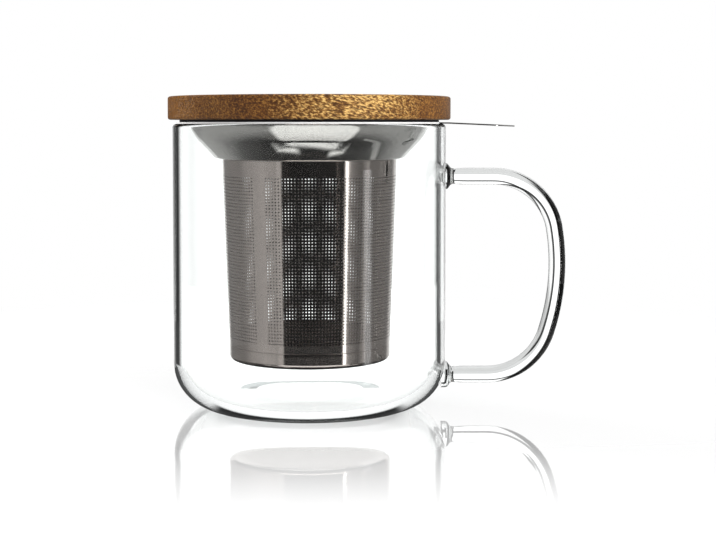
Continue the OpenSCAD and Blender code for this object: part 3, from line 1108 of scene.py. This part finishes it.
def floor_for_eye(nodes, ray, place_at, x, from_middle):
    """White acrylic with a mirror image that fades."""
    matt = nodes.add("ShaderNodeBsdfDiffuse", {"Color": FLOOR_WHITE}).outputs[0]
    glow = nodes.glow(nodes.times(ray.from_eye, EYE_GLOW))
    lit = nodes.add("ShaderNodeAddShader", {0: matt, 1: glow}).outputs[0]
    mirror = nodes.add("ShaderNodeBsdfGlossy", {"Color": WHITE, "Roughness": 0.02}).outputs[0]
    distance = nodes.length(nodes.scaled(place_at, (MIRROR_WIDER, 1.0, 0.0)))
    off_foot = nodes.larger(nodes.smooth(nodes.math("ABSOLUTE", x), *FOOT_SIDES),
                            nodes.smooth(from_middle, *ROUND_FOOT))
    shine = nodes.times(nodes.smooth(distance, *MIRROR_FADE), off_foot)
    melted = nodes.times(nodes.smooth(from_middle, *MELT), ray.from_eye)
    return nodes.mix(melted, nodes.mix(shine, lit, mirror), nodes.glow(1.0))


# %% [markdown]
# The collar faces down, so what it shows lies on the floor: cards round the mug, from one distance
# to another. `FRONT_CARD` is the big white one in front, and it makes the bright field on the
# collar. Its dark middle is painted shade: the floor under the mug, which lies in the shadow of
# lid and basket. `PAIR_OF_CARDS` are two slim ones beside it, `SIDE_CARDS` the grey ones left and
# right, and `PATCH` a small one at the right.
#
# `spread` says how far to the side a place lies, seen from the mug: 0 in the middle of the
# cards, which are turned a little to the right by `CARDS_TURN`, and about 1 at 45 degrees.

# %% Cards on the floor
CARDS_TURN = 0.22
# The dark first stop of FRONT_CARD is painted shade: the floor under the mug, in the shadow of lid
# and basket.
FRONT_CARD = [(0.0405, 0.03), (0.0425, 1.5)]
FRONT_BOW = 0.009
FRONT_END = (0.8, 1.0)
FRONT_NOTCH = (0.050, 0.058, 0.12, 0.0)
PAIR_OF_CARDS = [(0.0392, 0.0), (0.0407, 1.6), (0.0437, 1.6), (0.0450, 0.0)]
PAIR_AT = 0.9
PAIR_LEAN = 0.0125
PAIR_STARTS = (0.4, 0.7)
PAIR_ENDS = (1.3, 1.8, 1.0, 0.0)
SIDE_CARDS = [(0.030, 0.02), (0.050, 0.06), (0.080, 0.14), (0.095, 0.26), (0.120, 0.40),
              (0.150, 0.45)]
PATCH = [(0.072, 0.0), (0.075, 0.7), (0.081, 0.7), (0.084, 0.0)]
PATCH_STARTS = (1.9, 2.1)


def cards_round_mug(nodes, x, y, from_middle):
    """How bright the cards are at a place on the floor."""
    forward = nodes.larger(nodes.times(y, -1.0), 1 * MM)
    sideways = nodes.minus(nodes.math("DIVIDE", x, forward), CARDS_TURN)
    spread = nodes.math("ABSOLUTE", sideways)
    bowed = nodes.minus(from_middle, nodes.times(nodes.times(spread, spread), FRONT_BOW))
    leaning = nodes.times(nodes.minus(spread, PAIR_AT), PAIR_LEAN)
    pair_across = nodes.tone(nodes.minus(from_middle, leaning), PAIR_OF_CARDS)
    pair_along = nodes.times(nodes.smooth(spread, *PAIR_STARTS), nodes.smooth(spread, *PAIR_ENDS))
    to_side = nodes.plus(spread, nodes.smooth(from_middle, *FRONT_NOTCH))
    cards = nodes.choose(nodes.smooth(to_side, *FRONT_END), nodes.tone(bowed, FRONT_CARD),
                         nodes.tone(from_middle, SIDE_CARDS))
    patch = nodes.times(nodes.smooth(sideways, *PATCH_STARTS), nodes.tone(from_middle, PATCH))
    return nodes.larger(nodes.larger(cards, nodes.times(pair_across, pair_along)), patch)


# %% [markdown]
# Only steel inside the mug sees the cards. The inside of a glass wall sees tones of its own:
# they depend on how flat a ray meets the floor (Facing, from 0 straight down to 1 along it), and
# flat ones under the foot are black, which draws the dark line the mug stands on. Steel lifted
# out of the mug sees a floor that is dark near the foot and grey farther out. Very flat rays
# elsewhere go on to the world as if the floor weren't there.

# %% Floor as steel and the glass wall see it
UNDER_WALL = [(0.0, 1.3), (0.39, 1.3), (0.46, 0.0), (1.0, 0.0)]
BESIDE_WALL = 1.3
MIDDLE = (0.028, 0.034, 1.0, 0.0)
NEAR_R = 90 * MM
OPEN_FLOOR = (0.07, 0.10, 0.05, 0.40)
STEEL_FLAT = (0.62, 0.72)
WALL_FLAT = (0.75, 0.79)


def floor_for_mirrors(nodes, ray, x, y, from_middle, facing):
    """What the floor shows to rays that steel or a glass face has mirrored."""
    middle = nodes.smooth(nodes.math("ABSOLUTE", x), *MIDDLE)
    under_wall = nodes.choose(middle, BESIDE_WALL, nodes.tone(facing, UNDER_WALL))
    shown = nodes.choose(ray.in_one_wall, cards_round_mug(nodes, x, y, from_middle), under_wall)
    shown = nodes.choose(ray.let_out, shown, LET_OUT)
    shown = nodes.choose(ray.met_no_glass, shown, nodes.smooth(from_middle, *OPEN_FLOOR))
    near = nodes.times(middle, nodes.under(from_middle, NEAR_R))
    flat_in_wall = nodes.times(nodes.smooth(facing, *WALL_FLAT), nodes.minus(1.0, near))
    flat = nodes.choose(ray.in_one_wall, nodes.smooth(facing, *STEEL_FLAT), flat_in_wall)
    return nodes.mix(flat, nodes.glow(shown), nodes.add("ShaderNodeBsdfTransparent").outputs[0])


# %% [markdown]
# Through the mug the floor is white, and the flatter a ray meets it, the brighter. Through the
# rod it is light grey, but for a black card at the back, which reaches up to `CARD_EDGE_X` less
# `CARD_SLANT` times Y on the right and draws the dark line in the rod's upper bend.

# %% Floor as it shows through glass
UNDER_MUG = [(0.0, 0.9), (0.3, 0.95), (0.55, 1.2), (0.7, 1.5), (0.85, 2.0), (1.0, 2.0)]
UNDER_ROD = 0.75
ROD_FLAT = (0.58, 0.64)
CARD_EDGE_X = 0.072
CARD_SLANT = 0.17
CARD_FROM_Y = 0.08
CARD_SOFT_EDGE = (-0.003, 0.003, 1.0, 0.0)


def floor_through_glass(nodes, ray, x, y, facing):
    """What the floor shows to rays that glass has only bent."""
    edge_x = nodes.minus(CARD_EDGE_X, nodes.times(y, CARD_SLANT))
    black = nodes.times(nodes.smooth(nodes.minus(x, edge_x), *CARD_SOFT_EDGE),
                        nodes.over(y, CARD_FROM_Y))
    under_rod = nodes.choose(black, UNDER_ROD, 0.0)
    shown = nodes.choose(ray.often_bent, under_rod, nodes.tone(facing, UNDER_MUG))
    flat = nodes.times(nodes.smooth(facing, *ROD_FLAT), ray.in_one_wall)
    return nodes.mix(flat, nodes.glow(shown), nodes.add("ShaderNodeBsdfTransparent").outputs[0])


# %% [markdown]
# The floor is one material that asks what kind of ray it answers. A second disc a hair above it
# is the clear film: it shows nothing, and only lets the world count it.


# %% Floor
def floor_material():
    """White floor with a fading mirror image, and cards that only steel and glass see."""
    material = bpy.data.materials.new("white_floor")
    nodes = fresh_nodes(material, StudioNodes)
    ray = Ray(nodes)
    place_at = nodes.place_at()
    x, y = nodes.part(place_at, "X"), nodes.part(place_at, "Y")
    from_middle = nodes.length(place_at)
    facing = nodes.add("ShaderNodeLayerWeight", {"Blend": 0.5}).outputs["Facing"]
    mirrored = nodes.over(ray.mirrorings, 0.5)
    indirect = nodes.mix(mirrored, floor_through_glass(nodes, ray, x, y, facing),
                         floor_for_mirrors(nodes, ray, x, y, from_middle, facing))
    direct = floor_for_eye(nodes, ray, place_at, x, from_middle)
    nodes.add("ShaderNodeOutputMaterial", {"Surface": nodes.mix(ray.bent, direct, indirect)})
    return material


def film_material():
    """Nothing to see: it only lets the world know that a ray came by way of the floor."""
    material = bpy.data.materials.new("clear_film")
    nodes = fresh_nodes(material)
    clear = nodes.add("ShaderNodeBsdfTransparent")
    nodes.add("ShaderNodeOutputMaterial", {"Surface": clear.outputs[0]})
    return material


def disc_at(name, height, material):
    """A disc that belongs to the stage, as wide as the floor."""
    bm = bmesh.new()
    bmesh.ops.create_circle(bm, segments=96, radius=FLOOR_R, cap_ends=True)
    disc = to_object(bm, name)
    disc.location.z = height
    disc.data.materials.append(material)
    return disc


disc_at("floor", -HAIR, floor_material())
disc_at("film", -HAIR / 2, film_material())
print(f"floor radius {FLOOR_R} m")

# %% [markdown]
# Three lamps light the matt surfaces: a tall soft one at the front right, which lights the wood's
# front where its golden highlight is painted, a broad one overhead, and one at the back left for
# the lid's end.


# %% Lamps
AIM = Vector((0, 0, 0.06))


def soft_lamp(name, angle, distance, height, size, power):
    """A soft lamp that faces the mug; the angle is measured from the back to the right."""
    lamp = bpy.data.lights.new(name, "AREA")
    lamp.shape = "RECTANGLE"
    lamp.size, lamp.size_y = size
    lamp.energy = power
    obj = bpy.data.objects.new(name, lamp)
    bpy.context.scene.collection.objects.link(obj)
    turn = math.radians(angle)
    obj.location = (distance * math.sin(turn), distance * math.cos(turn), height)
    obj.rotation_euler = (AIM - obj.location).to_track_quat("-Z", "Y").to_euler()
    obj.visible_camera = False
    obj.visible_glossy = False
    obj.visible_transmission = False
    print(f"lamp {name}: {power:.0f} W, {distance} m away at {angle} degrees")
    return obj


soft_lamp("key", 138, 0.9, 0.35, (0.3, 0.9), 9.0)
soft_lamp("overhead", 170, 0.5, 1.1, (0.9, 0.9), 5.0)
soft_lamp("rim", -60, 0.9, 0.3, (0.3, 0.9), 14.0)

# %% [markdown]
# ## The camera
# The eye is level with the rim, so the lid's top stays hidden and the flange is a thin line. The
# frame reaches lower than the eye, and half of that comes from a small tilt and half from a
# small shift, which keeps the walls nearly upright.

# %% Camera
EYE_Z = 93 * MM
EYE_DISTANCE = 0.48
EYE_X = 16 * MM
FOCAL_PX = 1450
WIDTH_PX = 716
HORIZON_ABOVE_CENTRE_PX = 145
TILT = math.atan(0.5 * HORIZON_ABOVE_CENTRE_PX / FOCAL_PX)

camera_data = bpy.data.cameras.new("camera")
camera_data.sensor_width = 36
camera_data.lens = FOCAL_PX / WIDTH_PX * camera_data.sensor_width
camera_data.shift_y = -(HORIZON_ABOVE_CENTRE_PX / 2) / WIDTH_PX
camera = bpy.data.objects.new("camera", camera_data)
bpy.context.scene.collection.objects.link(camera)
camera.location = (EYE_X, -EYE_DISTANCE, EYE_Z)
camera.rotation_euler = (math.pi / 2 - TILT, 0, 0)
bpy.context.scene.camera = camera
bpy.context.scene.view_settings.view_transform = "Standard"
print(f"lens {camera_data.lens:.1f} mm, tilt {math.degrees(TILT):.2f} degrees")
